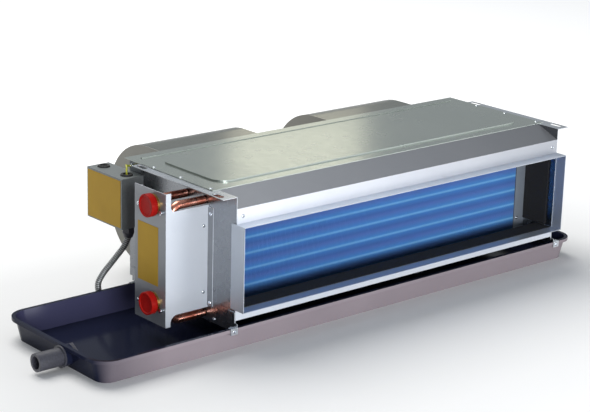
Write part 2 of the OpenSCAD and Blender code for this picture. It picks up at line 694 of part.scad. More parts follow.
// Two end plates of one blower with their rolled inlet rings
module blower_ends(x) for (s = [0, 1]) translate([x + s * blower_w, 0, 0]) mirror([s, 0, 0]) union() {
  along_x(0, 1) difference() {
    intersection() {
      scroll(0);
      translate([deck_y + 2, 0]) square([400, 400]);
    }
    translate([axis_y, axis_z]) circle(imp_r - 5);
  }
  translate([0, axis_y, axis_z]) rotate([0, 90, 0]) rotate_extrude() intersection() {
    translate([imp_r - 5, 7]) difference() {
      circle(7);
      circle(6);
    }
    translate([imp_r - 15, 0]) square([10, 7]);
  }
}

// Left scroll
module left_blower_wrap() color("#a9aaa2") blower_wrap(bx[0]);

// Right scroll
module right_blower_wrap() color("#a9aaa2") blower_wrap(bx[1]);

// Left blower's end plates
module left_blower_ends() color("#8f908a") blower_ends(bx[0]);

// Right blower's end plates
module right_blower_ends() color("#8f908a") blower_ends(bx[1]);

// Rolled motor shell with a cable entry
module motor_body() color("#3c3f44") difference() {
  union() {
    rod(motor_x0 + 14, motor_x1 - 14, axis_y, axis_z, motor_r);
    translate([casing_len / 2, axis_y + 30, axis_z - 57]) cylinder(h = 25, r = 8);
  }
  rod(motor_x0 + 13, motor_x1 - 13, axis_y, axis_z, motor_r - 4);
  translate([casing_len / 2, axis_y + 30, axis_z - 60]) cylinder(h = 13.5, r = conduit_r + 0.4);
}

// Two dished end bells with the bearings
module motor_bells() color("#8d9095") for (s = [0, 1])
  translate([casing_len / 2, 0, 0]) mirror([s, 0, 0]) translate([motor_len / 2, axis_y, axis_z]) rotate([0, 90, 0])
    rotate_extrude() polygon([
      [shaft_r + play, -10], [15, -10], [18, -7], [motor_r - 5, -11], [motor_r - 4.01, -14], [motor_r, -14],
      [motor_r, -9], [motor_r - 4, -5], [20, 0], [16, 8], [shaft_r + play, 8]
    ]);

// Wound stator ring inside the shell
module motor_stator() color("#5a5048")
  pipe(motor_x0 + 18, motor_x1 - 18, axis_y, axis_z, motor_r - 4, motor_r - 4.5 - core_r);

// Shelf that carries the motor from the deck
module motor_shelf() color("#9a9da1") union() {
  span([motor_x0 + 6, deck_y + 1, axis_z - motor_r - 25], [motor_x1 - 6, deck_y + 3, axis_z - motor_r + 30]);
  span([motor_x0 + 6, deck_y + 3, axis_z - motor_r - 6], [motor_x1 - 6, axis_y + 16, axis_z - motor_r - 4]);
  for (x = [motor_x0 + 6, motor_x1 - 8]) along_x(x, 2)
    polygon([[deck_y + 3, axis_z - motor_r - 25], [axis_y + 16, axis_z - motor_r - 8], [axis_y + 16, axis_z - motor_r - 6], [deck_y + 3, axis_z - motor_r - 6]]);
}

// Two bands round the motor on blocks
module motor_clamps() color("#85888c") for (x = [motor_x0 + 20, motor_x1 - 30]) difference() {
  union() {
    rod(x, x + 10, axis_y, axis_z, motor_r + 1.5);
    span([x, axis_y - 16, axis_z - motor_r - 4], [x + 10, axis_y + 16, axis_z - motor_r + 8]);
  }
  rod(x - 1, x + 11, axis_y, axis_z, motor_r);
}

// Through shaft with the motor's rotor core
module rotor_shaft() color("#c8cacc") union() {
  rod(bx[0] + 12, bx[1] + blower_w - 12, axis_y, axis_z, shaft_r);
  rod(motor_x0 + 18, motor_x1 - 18, axis_y, axis_z, core_r);
}

// Forward-curved blades in end view
module blade_ring() for (i = [0:blades - 1]) rotate(360 * i / blades) intersection() {
  difference() {
    circle(imp_r - 0.6);
    circle(imp_r - 11.6);
  }
  translate([imp_r - 6, 6]) difference() {
    circle(9);
    circle(8);
  }
  translate([imp_r - 16, -4]) square([20, 7]);
}

// Double-inlet impeller: two rims, a middle disc with its hub, and the blades
module impeller(x) translate([x + 9, axis_y, axis_z]) rotate([90, 0, 90]) union() {
  linear_extrude(blower_w - 18) blade_ring();
  for (z = [0, blower_w - 20]) translate([0, 0, z]) linear_extrude(2) difference() {
    circle(imp_r);
    circle(imp_r - 13);
  }
  translate([0, 0, blower_w / 2 - 10]) linear_extrude(2) difference() {
    circle(imp_r);
    circle(shaft_r);
  }
  translate([0, 0, blower_w / 2 - 24]) linear_extrude(30) difference() {
    circle(13);
    circle(shaft_r);
  }
}

// Left impeller
module left_impeller() color("#b9bdc0") impeller(bx[0]);

// Right impeller
module right_impeller() color("#b9bdc0") impeller(bx[1]);

// Screws that hold the top panel on the flanges
module panel_screws() color("#dfe1e4") for (x = [-5, casing_len + 5], y = [slope_y + 10, casing_depth / 2 - 6, casing_depth - 71])
  translate([x, y, flange_z + 1]) cylinder(h = 2, r1 = 3.5, r2 = 2.5);

// Screw heads and rivets of the frame
module frame_screws() color("#d9dbde") {
  for (z = [conn_lo + 9, conn_hi - 38]) translate([-8.5, face_y, z]) rotate([90, 0, 0]) cylinder(h = 2, r1 = 3.5, r2 = 2.5);
  for (z = [pan_h + 20, flange_z - 40]) rod(-sheet - 2, -sheet, face_y - 6, z, 3.2);
  for (z = [conn_lo - 8, conn_hi - 8]) rod(-bracket_out - 2, -bracket_out, bracket_back - 8, z, 3);
  for (x = [12, casing_len - 12]) translate([x, 0, collar_top + 11]) rotate([90, 0, 0]) cylinder(h = 1.6, r1 = 3.4, r2 = 2.4);
  for (x = [-6.5, casing_len + 6.5]) translate([x, -pan_front - 1.2, pan_h - 4]) rotate([90, 0, 0]) cylinder(h = 2, r1 = 3.4, r2 = 2.4);
  rod(-2, 0, 50, pan_h - 3, 3.2);
  rod(-2, 0, box_y + 31, box_z1 + 9, 3);
  translate([casing_len - coil_x1 + 7, coil_y, collar_z + 4]) rotate([90, 0, 0]) cylinder(h = 2, r = 3);
}

translate(shift) drain_pan();
translate(shift) drain_spigot();
translate(shift) drain_locknut();
translate(shift) pan_clips();
translate(shift) left_side_plate();
translate(shift) right_side_plate();
translate(shift) top_panel();
translate(shift) front_header();
translate(shift) outlet_collar();
translate(shift) front_bottom_rail();
translate(shift) fan_deck();
translate(shift) foam_linings();
translate(shift) coil_top_seal();
translate(shift) coil_fins();
translate(shift) coil_plate_left();
translate(shift) coil_plate_right();
translate(shift) coil_hairpins();
translate(shift) return_bends();
translate(shift) supply_header();
translate(shift) return_header();
translate(shift) supply_connector();
translate(shift) return_connector();
translate(shift) supply_cap();
translate(shift) return_cap();
translate(shift) supply_vent_screw();
translate(shift) return_vent_screw();
translate(shift) connection_bracket();
translate(shift) terminal_box();
translate(shift) terminal_cover();
translate(shift) terminal_block();
translate(shift) box_grommets();
translate(shift) cable_gland();
translate(shift) conduit();
translate(shift) earth_wire();
translate(shift) left_blower_wrap();
translate(shift) right_blower_wrap();
translate(shift) left_blower_ends();
translate(shift) right_blower_ends();
translate(shift) motor_body();
translate(shift) motor_bells();
translate(shift) motor_stator();
translate(shift) motor_shelf();
translate(shift) motor_clamps();
translate(shift) rotor_shaft();
translate(shift) left_impeller();
translate(shift) right_impeller();
translate(shift) panel_screws();
translate(shift) frame_screws();
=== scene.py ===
import math

import bpy
from mathutils import Matrix, Vector


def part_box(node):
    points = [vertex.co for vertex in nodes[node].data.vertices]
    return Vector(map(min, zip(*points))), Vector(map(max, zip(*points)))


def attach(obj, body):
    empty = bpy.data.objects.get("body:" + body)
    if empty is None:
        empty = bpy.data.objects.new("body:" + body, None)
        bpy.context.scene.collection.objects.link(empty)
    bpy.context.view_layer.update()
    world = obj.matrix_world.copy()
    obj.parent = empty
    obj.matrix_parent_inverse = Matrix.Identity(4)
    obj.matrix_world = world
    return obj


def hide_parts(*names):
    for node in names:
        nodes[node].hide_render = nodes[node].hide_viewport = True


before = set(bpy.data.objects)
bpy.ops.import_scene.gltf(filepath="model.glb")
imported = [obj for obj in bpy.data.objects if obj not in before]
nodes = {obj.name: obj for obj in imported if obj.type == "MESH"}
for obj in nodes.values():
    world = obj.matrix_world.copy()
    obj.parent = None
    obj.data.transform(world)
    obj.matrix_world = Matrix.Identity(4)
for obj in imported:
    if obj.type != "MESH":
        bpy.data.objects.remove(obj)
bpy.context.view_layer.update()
bpy.ops.object.select_all(action="DESELECT")


# Place of the casing in the frame: its left side plate's outer face, its front and the pan's underside.
# Every place below is in millimetres from there, as on a shop drawing.
casing_len = 684
casing_front = -199.0
casing_middle = (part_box("left_side_plate")[0].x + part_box("right_side_plate")[1].x) / 2
casing_corner = Vector((casing_middle * 1000 - casing_len / 2, casing_front, 0.0))


def at(x, y, z):
    return (Vector((x, y, z)) + casing_corner) / 1000


# Camera at the photograph's viewing angle.
# It stands to the left of the unit and a little above it, with a slight roll.
picture_width = 590
focal_px = 1754.4
sensor_mm = 36
azimuth, elevation, roll = (math.radians(a) for a in (-40.74, 16.86, 1.51))
back = Vector((
    math.sin(azimuth) * math.cos(elevation),
    -math.cos(azimuth) * math.cos(elevation),
    math.sin(elevation),
))
level_right = Vector((0, 0, 1)).cross(back).normalized()
level_up = back.cross(level_right)
right = math.cos(roll) * level_right + math.sin(roll) * level_up
up = math.cos(roll) * level_up - math.sin(roll) * level_right
aim_point = at(350, 0, 193)
aside, raised_by, distance = -183.3, -32.4, 2727.3
stand = aim_point + (aside * right + raised_by * up + distance * back) / 1000
bpy.ops.object.camera_add()
camera = bpy.context.object
camera.name = "camera"
camera.data.sensor_width = sensor_mm
camera.data.lens = sensor_mm * focal_px / picture_width
camera.matrix_world = Matrix((
    (right.x, up.x, back.x, stand.x),
    (right.y, up.y, back.y, stand.y),
    (right.z, up.z, back.z, stand.z),
    (0, 0, 0, 1),
))
bpy.context.scene.camera = camera
bpy.context.scene.view_settings.view_transform = "Standard"


# Studio: a white paper floor, a grey room that is paler low down, and broad soft lamps.
# The paper glows a little, more so further out, so that it stays white and still takes the shadow.
# Two fill lamps in front light the unit and leave the floor out.
def colour(code):
    channels = [int(code[i:i + 2], 16) / 255 for i in (1, 3, 5)]
    return [c / 12.92 if c <= 0.04045 else ((c + 0.055) / 1.055) ** 2.4 for c in channels] + [1.0]


def add(tree, kind, settings=None, **inputs):
    made = tree.nodes.new("ShaderNode" + kind)
    for name, value in (settings or {}).items():
        setattr(made, name, value)
    for name, value in inputs.items():
        numbered = name[0] == "i" and name[1:].isdigit()
        place = made.inputs[int(name[1:]) if numbered else name.replace("_", " ")]
        if isinstance(value, bpy.types.NodeSocket):
            tree.links.new(value, place)
        else:
            place.default_value = value
    return made


def new_material(name):
    made = bpy.data.materials.new(name)
    made.use_nodes = True
    made.node_tree.nodes.clear()
    return made, made.node_tree


bpy.ops.mesh.primitive_plane_add(size=60, location=(0, 0, 0))
paper_floor = bpy.context.object
paper_floor.name = "paper_floor"
paper, tree = new_material("white_paper")
matt = add(tree, "BsdfDiffuse", Color=colour("#e6e6e7"))
path = add(tree, "LightPath")
mirrored = add(tree, "Math", {"operation": "MAXIMUM"},
               i0=path.outputs["Is Glossy Ray"], i1=path.outputs["Is Transmission Ray"])
seen = add(tree, "Math", {"operation": "MAXIMUM"}, i0=path.outputs["Is Camera Ray"], i1=mirrored.outputs[0])
shaded_half = (0.50, 0.22, 0.0)
shade_edge, shade_end = 0.02, 0.55
least_lift, most_lift = 0.09, 0.42
where = add(tree, "TexCoord")
sides = add(tree, "VectorMath", {"operation": "ABSOLUTE"}, i0=where.outputs["Object"])
beyond = add(tree, "VectorMath", {"operation": "SUBTRACT"}, i0=sides.outputs[0], i1=shaded_half)
outside = add(tree, "VectorMath", {"operation": "MAXIMUM"}, i0=beyond.outputs[0], i1=(0.0, 0.0, 0.0))
away = add(tree, "VectorMath", {"operation": "LENGTH"}, i0=outside.outputs[0])
rise = add(tree, "MapRange",
           i0=away.outputs["Value"], i1=shade_edge, i2=shade_end, i3=least_lift, i4=most_lift)
lift = add(tree, "Math", {"operation": "MULTIPLY"}, i0=seen.outputs[0], i1=rise.outputs[0])
glow = add(tree, "Emission", Color=colour("#ffffff"), Strength=lift.outputs[0])
both = add(tree, "AddShader", i0=matt.outputs[0], i1=glow.outputs[0])
add(tree, "OutputMaterial", Surface=both.outputs[0])
paper_floor.data.materials.append(paper)

room = bpy.data.worlds.new("room")
bpy.context.scene.world = room
room.use_nodes = True
tree = room.node_tree
tree.nodes.clear()
where = add(tree, "TexCoord")
axes = add(tree, "SeparateXYZ", Vector=where.outputs["Generated"])
shade = add(tree, "ValToRGB", Fac=axes.outputs["Z"])
shade.color_ramp.elements[0].color = colour("#a7abae")
shade.color_ramp.elements[1].color = colour("#9aa0a7")
middle = shade.color_ramp.elements.new(0.35)
middle.color = colour("#9fa4a8")
glow = add(tree, "Background", Color=shade.outputs["Color"], Strength=1.0)
add(tree, "OutputWorld", Surface=glow.outputs[0])


def lamp(name, place, aim, size, watts, tint):
    bpy.ops.object.light_add(type="AREA", location=place)
    made = bpy.context.object
    made.name = name
    made.data.shape = "RECTANGLE"
    made.data.size, made.data.size_y = size
    made.data.energy = watts
    made.data.color = colour(tint)[:3]
    made.rotation_euler = (Vector(aim) - Vector(place)).to_track_quat("-Z", "Y").to_euler()
    return made


off_floor = bpy.data.collections.new("off_floor")
off_floor.objects.link(paper_floor)
off_floor.collection_objects[0].light_linking.link_state = "EXCLUDE"
lamp("sky_panel", (-0.1, 1.45, 2.7), (0.0, 0.0, 0.1), (1.95, 2.6), 84, "#fffdf8")
lamp("back_lamp", (0.74, 0.80, 0.60), (0.08, -0.06, 0.23), (0.30, 0.28), 0.26, "#fff8e0")
for fill in (
    lamp("fin_lamp", (-0.9, -2.0, 0.40), (0.1, -0.15, 0.13), (0.9, 0.6), 37, "#f7faff"),
    lamp("front_lamp", (1.3, -2.4, 0.2), (-0.1, -0.2, 0.14), (1.1, 0.3), 12, "#f7faff"),
):
    fill.light_linking.receiver_collection = off_floor


# Drain pan: a long tray pressed from steel sheet and finished in black stove enamel, hung on four straps.
# Enamel is glossy and nearly black, with an orange peel of about 4 mm. The outside of the front wall and the
# inside of the back wall are painted paler, as a painted reflection of the bright floor and room.
def dress(material, *names):
    for name in names:
        nodes[name].data.materials.clear()
        nodes[name].data.materials.append(material)


enamel, tree = new_material("black_stove_enamel")
where = add(tree, "TexCoord")
spot = add(tree, "SeparateXYZ", Vector=where.outputs["Object"])
facing = add(tree, "SeparateXYZ", Vector=where.outputs["Normal"])
# The outside of the front wall is painted paler, a painted reflection that fades out towards the left end.
front_from, front_to = at(0, 49, 0).y, at(0, 24, 0).y
front = add(tree, "MapRange", i0=spot.outputs["Y"], i1=front_from, i2=front_to, i3=0.0, i4=1.0)
outward = add(tree, "MapRange", i0=facing.outputs["Y"], i1=-0.35, i2=-0.95, i3=0.0, i4=1.0)
reflection_from, reflection_to = at(-232, 0, 0).x, at(-120, 0, 0).x
left_reflection_share = 0.35
along = add(tree, "MapRange", i0=spot.outputs["X"], i1=reflection_from, i2=reflection_to, i3=left_reflection_share, i4=1.0)
wall_face = add(tree, "Math", {"operation": "MULTIPLY"}, i0=front.outputs[0], i1=outward.outputs[0])
painted_reflection = add(tree, "Math", {"operation": "MULTIPLY"}, i0=wall_face.outputs[0], i1=along.outputs[0])
cloud = add(tree, "TexNoise", Vector=where.outputs["Object"], Scale=9.0, Detail=4.0)
tone = add(tree, "ValToRGB", Fac=cloud.outputs["Fac"])
tone.color_ramp.elements[0].color = colour("#131627")
tone.color_ramp.elements[1].color = colour("#1f2337")
pale = add(tree, "ValToRGB", Fac=cloud.outputs["Fac"])
pale.color_ramp.elements[0].color = colour("#857b80")
pale.color_ramp.elements[1].color = colour("#94898d")
# The inside of the back wall is painted a paler blue-grey: a painted reflection.
pan_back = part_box("drain_pan")[1].y
rear_from, rear_to = pan_back - 0.05, pan_back - 0.04
rear = add(tree, "MapRange", i0=spot.outputs["Y"], i1=rear_from, i2=rear_to, i3=0.0, i4=1.0)
inside = add(tree, "Math", {"operation": "MULTIPLY"}, i0=outward.outputs[0], i1=rear.outputs[0])
dark = add(tree, "Mix", {"data_type": "RGBA"},
           i0=inside.outputs[0], i6=tone.outputs["Color"], i7=colour("#3c3c55"))
paint = add(tree, "Mix", {"data_type": "RGBA"},
            i0=painted_reflection.outputs[0], i6=dark.outputs[2], i7=pale.outputs["Color"])
peel = add(tree, "TexNoise", Vector=where.outputs["Object"], Scale=260.0, Detail=2.0)
ripple = add(tree, "Bump", Strength=0.05, Distance=0.0004, Height=peel.outputs["Fac"])
dark_rough, reflection_rough = 0.14, 0.42
sheen = add(tree, "MapRange", i0=painted_reflection.outputs[0], i1=0.0, i2=1.0, i3=dark_rough, i4=reflection_rough)
gloss = add(tree, "BsdfPrincipled",
            Base_Color=paint.outputs[2], Roughness=sheen.outputs[0], Normal=ripple.outputs[0])
gloss.inputs["IOR"].default_value = 1.55
gloss.inputs["Specular IOR Level"].default_value = 0.09
add(tree, "OutputMaterial", Surface=gloss.outputs[0])
dress(enamel, "drain_pan")


# Drain tail, its nut and the cable gland: black nylon mouldings, screwed up tight against the sheet.
# Nylon is dull black; the faint grain from the mould is drawn about 2.4 mm across, coarser than it is.
nylon, tree = new_material("black_nylon")
where = add(tree, "TexCoord")
grain = add(tree, "TexNoise", Vector=where.outputs["Object"], Scale=420.0, Detail=3.0)
tone = add(tree, "ValToRGB", Fac=grain.outputs["Fac"])
tone.color_ramp.elements[0].color = colour("#26262a")
tone.color_ramp.elements[1].color = colour("#4a4a54")
raised = add(tree, "Bump", Strength=0.12, Distance=0.0003, Height=grain.outputs["Fac"])
dull = add(tree, "BsdfPrincipled", Base_Color=tone.outputs["Color"], Roughness=0.42, Normal=raised.outputs[0])
dull.inputs["IOR"].default_value = 1.53
add(tree, "OutputMaterial", Surface=dull.outputs[0])
dress(nylon, "drain_spigot", "drain_locknut", "cable_gland")


# Casing: plates, panel, header, collar, rail and deck folded from galvanised steel sheet, screwed together.
# Hot-dip zinc is a pale grey metal with soft crystal patches, called spangle, about 12 mm across.
# The tone changes with the piece and the way a face points: this is painted light and shade.
def galvanised(name, dark, light, end_shade_share, rough, slope_light_share=1.0, bare=1.0, front_bare=1.0,
               far_shade_share=1.0, slope_from=0.0):
    # The shares are painted light and shade. They scale the tone of faces that point to the two ends, of
    # faces that point up above the height slope_from, and towards the right end. bare is how far the surface
    # is clean metal, and front_bare the share of that on faces to the front and back.
    facing_from, facing_to = 0.5, 0.95
    upward_from, upward_to = 0.3, 0.8
    made, tree = new_material(name)
    where = add(tree, "TexCoord")
    crystal = add(tree, "TexVoronoi", Vector=where.outputs["Object"], Scale=82.0)
    patch = add(tree, "SeparateColor", Color=crystal.outputs["Color"])
    cloud = add(tree, "TexNoise", Vector=where.outputs["Object"], Scale=7.0, Detail=5.0)
    spangle_share = 0.11
    mixed = add(tree, "Math", {"operation": "MULTIPLY_ADD"},
                i0=patch.outputs[0], i1=spangle_share, i2=cloud.outputs["Fac"])
    level = add(tree, "MapRange", i0=mixed.outputs[0], i1=0.25, i2=1.0, i3=0.0, i4=1.0)
    tone = add(tree, "ValToRGB", Fac=level.outputs[0])
    tone.color_ramp.elements[0].color = colour(dark)
    tone.color_ramp.elements[1].color = colour(light)
    facing = add(tree, "SeparateXYZ", Vector=where.outputs["Normal"])
    # Faces that point to the ends are painted darker: painted shade.
    endwise = add(tree, "Math", {"operation": "ABSOLUTE"}, i0=facing.outputs["X"])
    share = add(tree, "MapRange",
                i0=endwise.outputs[0], i1=facing_from, i2=facing_to, i3=1.0, i4=end_shade_share)
    ends = add(tree, "VectorMath", {"operation": "SCALE"}, i0=tone.outputs["Color"], Scale=share.outputs[0])
    spot = add(tree, "SeparateXYZ", Vector=where.outputs["Object"])
    # Faces that point up are painted lighter or darker: painted light and shade.
    raised = add(tree, "Math", {"operation": "GREATER_THAN"}, i0=spot.outputs["Z"], i1=slope_from)
    upward = add(tree, "MapRange",
                 i0=facing.outputs["Z"], i1=upward_from, i2=upward_to, i3=0.0, i4=raised.outputs[0])
    painted_slope_light = add(tree, "MapRange", i0=upward.outputs[0], i1=0.0, i2=1.0, i3=1.0, i4=slope_light_share)
    # Towards the right end the tone is painted darker: painted shade.
    fade_from, fade_to = at(60, 0, 0).x, at(casing_len, 0, 0).x
    along = add(tree, "MapRange", i0=spot.outputs["X"], i1=fade_from, i2=fade_to, i3=1.0, i4=far_shade_share)
    both = add(tree, "Math", {"operation": "MULTIPLY"}, i0=painted_slope_light.outputs[0], i1=along.outputs[0])
    skin = add(tree, "VectorMath", {"operation": "SCALE"}, i0=ends.outputs[0], Scale=both.outputs[0])
    spread = 0.015
    sheen = add(tree, "MapRange", i0=patch.outputs[1], i1=0.0, i2=1.0, i3=rough - spread, i4=rough + spread)
    fine = add(tree, "TexNoise", Vector=where.outputs["Object"], Scale=110.0, Detail=2.0)
    waved = add(tree, "Bump", Strength=0.04, Distance=0.0001, Height=fine.outputs["Fac"])
    zinc = add(tree, "BsdfPrincipled",
               Base_Color=skin.outputs[0], Roughness=sheen.outputs[0], Normal=waved.outputs[0])
    zinc.inputs["Metallic"].default_value = bare
    if front_bare < 1.0:
        frontwise = add(tree, "Math", {"operation": "ABSOLUTE"}, i0=facing.outputs["Y"])
        clean = add(tree, "MapRange",
                    i0=frontwise.outputs[0], i1=facing_from, i2=facing_to, i3=bare, i4=bare * front_bare)
        tree.links.new(clean.outputs[0], zinc.inputs["Metallic"])
    add(tree, "OutputMaterial", Surface=zinc.outputs[0])
    return made


# Each piece's tone is set to its light. The fourth argument paints shade on faces to the ends; the slope and
# far shares paint light and shade on faces that point up and towards the right end.
sheet_zinc = galvanised("galvanised_sheet", "#d6dae1", "#dfe3e8", 0.33, 0.27)
collar_zinc = galvanised("galvanised_collar", "#b4bac4", "#c0c6ce", 0.85, 0.42, 1.35, 0.7, slope_from=0.15)
dull_zinc = galvanised("dull_zinc", "#8f98a3", "#a2aab4", 0.6, 0.5, bare=0.5)
panel_zinc = galvanised("galvanised_panel", "#bcc3bc", "#c7cdc6", 0.5, 0.26, front_bare=0.2)
strip_zinc = galvanised("galvanised_strip", "#e1e4ec", "#ebedf3", 0.6, 0.34, 0.42, 0.5, far_shade_share=0.6)
bracket_zinc = galvanised("galvanised_bracket", "#d3d8e0", "#dde1e7", 0.30, 0.34, bare=0.5)
dress(sheet_zinc, "left_side_plate", "right_side_plate", "fan_deck")
dress(sheet_zinc, "motor_shelf", "motor_clamps", "pan_clips")
dress(dull_zinc, "coil_plate_left", "coil_plate_right")
dress(collar_zinc, "outlet_collar")
dress(panel_zinc, "top_panel")
dress(strip_zinc, "front_header")
dress(bracket_zinc, "connection_bracket", "front_bottom_rail")


# Foam linings, the seal above the coil and a strip on the collar's floor: closed-cell rubber foam.
# It is stuck to the sheet, and is matt black with cells drawn about 1.5 mm across.
foam, tree = new_material("black_foam")
where = add(tree, "TexCoord")
cells = add(tree, "TexVoronoi", Vector=where.outputs["Object"], Scale=650.0)
pitted = add(tree, "Bump", Strength=0.4, Distance=0.0008, Height=cells.outputs["Distance"])
tone = add(tree, "ValToRGB", Fac=cells.outputs["Distance"])
tone.color_ramp.elements[0].color = colour("#0b0b0d")
tone.color_ramp.elements[1].color = colour("#1b1b1f")
matt = add(tree, "BsdfPrincipled", Base_Color=tone.outputs["Color"], Roughness=0.9, Normal=pitted.outputs[0])
add(tree, "OutputMaterial", Surface=matt.outputs[0])
dress(foam, "foam_linings", "coil_top_seal")


def bar(name, low_corner, high_corner, rounding, material):
    bpy.ops.object.select_all(action="DESELECT")
    lo, hi = at(*low_corner), at(*high_corner)
    bpy.ops.mesh.primitive_cube_add(size=1, location=(lo + hi) / 2)
    made = bpy.context.object
    made.name = name
    made.scale = hi - lo
    bpy.ops.object.transform_apply(location=True, rotation=True, scale=True)
    round_off = made.modifiers.new("round_off", "BEVEL")
    round_off.width = rounding
    round_off.segments = 2
    bpy.ops.object.modifier_apply(modifier="round_off")
    made.data.materials.append(material)
    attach(made, "unit")


# The strip on the collar's floor is foam, run back 30 mm as a dark sheet where there is shade under the coil.
bar("collar_foam_and_shade", (4.6, -1, 64), (679.4, 30, 65), 0.0003, foam)


# Fin pack: hundreds of thin aluminium fins with a blue water-shedding lacquer, pressed onto the tubes.
# Each fin is rippled from front to back. The pale lines on it stand for the front row of tubes, and its foot
# is painted darker, as painted shade under the collar's lip.
fin_pitch = 2.5
fin_thickness = 0.00018
end_gap = 0.0004
ripples = 12
ripple_depth = 0.0005
low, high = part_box("coil_fins")
fin_left, fin_right = low.x + end_gap, high.x - end_gap
fin_count = int((fin_right - fin_left) * 1000 / fin_pitch) + 1
first_fin = (fin_left, (low.y + high.y) / 2, (low.z + high.z) / 2)
bpy.ops.object.select_all(action="DESELECT")
bpy.ops.mesh.primitive_plane_add(size=1, rotation=(0, math.pi / 2, 0), location=first_fin)
fin_pack = bpy.context.object
fin_pack.name = "fin_pack"
fin_pack.scale = (high.z - low.z, high.y - low.y, 1)
bpy.ops.object.transform_apply(location=True, rotation=True, scale=True)
bpy.ops.object.mode_set(mode="EDIT")
bpy.ops.mesh.select_mode(type="EDGE")
bpy.ops.mesh.select_all(action="DESELECT")
bpy.ops.object.mode_set(mode="OBJECT")
for edge in fin_pack.data.edges:
    a, b = (fin_pack.data.vertices[i].co for i in edge.vertices)
    edge.select = abs(a.y - b.y) > abs(a.z - b.z)
bpy.ops.object.mode_set(mode="EDIT")
bpy.ops.mesh.subdivide_edgering(number_cuts=ripples - 1)
bpy.ops.object.mode_set(mode="OBJECT")
strip = (high.y - low.y) / ripples
for vertex in fin_pack.data.vertices:
    vertex.co.x += ripple_depth * (round((vertex.co.y - low.y) / strip) % 2)
wall = fin_pack.modifiers.new("wall", "SOLIDIFY")
wall.thickness = fin_thickness
row = fin_pack.modifiers.new("row", "ARRAY")
row.use_relative_offset = False
row.use_constant_offset = True
row.constant_offset_displace = (fin_pitch / 1000, 0, 0)
row.count = fin_count
for modifier in ("wall", "row"):
    bpy.ops.object.modifier_apply(modifier=modifier)
lacquer, tree = new_material("blue_fin_lacquer")
where = add(tree, "TexCoord")
spot = add(tree, "SeparateXYZ", Vector=where.outputs["Object"])
lowest_line, line_pitch = 0.068, 0.025
rows_up = add(tree, "MapRange", {"clamp": False},
              i0=spot.outputs["Z"], i1=lowest_line, i2=lowest_line + line_pitch, i3=0.0, i4=1.0)
part_row = add(tree, "Math", {"operation": "FRACT"}, i0=rows_up.outputs[0])
band = add(tree, "ValToRGB", Fac=part_row.outputs[0])
band.color_ramp.elements[0].color = colour("#9fdcff")
band.color_ramp.elements[1].color = colour("#9fdcff")
for place, code in (
    (0.05, "#94d4fb"),
    (0.10, "#6cb6ee"),
    (0.42, "#7ba0e0"),
    (0.6, "#6a96d8"),
    (0.90, "#66acea"),
    (0.95, "#94d4fb"),
):
    band.color_ramp.elements.new(place).color = colour(code)
# Below the lowest line the fins are painted darker towards the bottom: painted shade.
foot_height, foot_shade_share = 0.050, 0.42
painted_foot_shade = add(tree, "MapRange", i0=spot.outputs["Z"], i1=foot_height, i2=lowest_line, i3=foot_shade_share, i4=1.0)
shaded = add(tree, "VectorMath", {"operation": "SCALE"}, i0=band.outputs["Color"], Scale=painted_foot_shade.outputs[0])
bright = add(tree, "BsdfPrincipled", Base_Color=shaded.outputs[0], Roughness=0.33)
bright.inputs["Metallic"].default_value = 0.2
add(tree, "OutputMaterial", Surface=bright.outputs[0])
fin_pack.data.materials.append(lacquer)
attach(fin_pack, "unit")
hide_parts("coil_fins")


# Coil tubes, bends and headers: drawn copper, brazed at the joints.
# Copper is salmon when new and browns in clouds, here about 20 mm across.
copper, tree = new_material("drawn_copper")
where = add(tree, "TexCoord")
cloud = add(tree, "TexNoise", Vector=where.outputs["Object"], Scale=45.0, Detail=5.0)
tone = add(tree, "ValToRGB", Fac=cloud.outputs["Fac"])
tone.color_ramp.elements[0].position = 0.35
tone.color_ramp.elements[0].color = colour("#c3705a")
tone.color_ramp.elements[1].position = 0.65
tone.color_ramp.elements[1].color = colour("#f4b6a0")
sheen = add(tree, "MapRange", i0=cloud.outputs["Fac"], i1=0.3, i2=0.7, i3=0.34, i4=0.20)
metal = add(tree, "BsdfPrincipled", Base_Color=tone.outputs["Color"], Roughness=sheen.outputs[0])
metal.inputs["Metallic"].default_value = 1.0
add(tree, "OutputMaterial", Surface=metal.outputs[0])
dress(copper, "coil_hairpins", "return_bends", "supply_header", "return_header")


# Water connectors: turned brass sockets with a vent body, brazed to the headers.
# Turned brass is yellow with fine rings from the tool, drawn 0.75 mm apart.
brass, tree = new_material("turned_brass")
where = add(tree, "TexCoord")
rings = add(tree, "TexWave", {"wave_type": "BANDS", "bands_direction": "X"},
            Vector=where.outputs["Object"], Scale=420.0)
tone = add(tree, "ValToRGB", Fac=rings.outputs["Fac"])
tone.color_ramp.elements[0].color = colour("#b98a45")
tone.color_ramp.elements[1].color = colour("#d8ad66")
metal = add(tree, "BsdfPrincipled", Base_Color=tone.outputs["Color"], Roughness=0.28)
metal.inputs["Metallic"].default_value = 1.0
add(tree, "OutputMaterial", Surface=metal.outputs[0])
dress(brass, "supply_connector", "return_connector")


# Port caps: red polyethylene caps pushed over the sockets for transport.
# Each is a shallow cup with a dished face and a rolled edge; polyethylene is waxy, with a soft gloss.
waxy, tree = new_material("red_polyethylene")
where = add(tree, "TexCoord")
cloud = add(tree, "TexNoise", Vector=where.outputs["Object"], Scale=120.0, Detail=3.0)
tone = add(tree, "ValToRGB", Fac=cloud.outputs["Fac"])
tone.color_ramp.elements[0].color = colour("#820c0a")
tone.color_ramp.elements[1].color = colour("#a01712")
soft = add(tree, "BsdfPrincipled", Base_Color=tone.outputs["Color"], Roughness=0.38)
soft.inputs["IOR"].default_value = 1.51
soft.inputs["Specular IOR Level"].default_value = 0.08
add(tree, "OutputMaterial", Surface=soft.outputs[0])


def select_faces(piece, wanted):
    bpy.ops.object.mode_set(mode="EDIT")
    bpy.ops.mesh.select_mode(type="FACE")
    bpy.ops.mesh.select_all(action="DESELECT")
    bpy.ops.object.mode_set(mode="OBJECT")
    for face in piece.data.polygons:
        face.select = wanted(face)
    bpy.ops.object.mode_set(mode="EDIT")


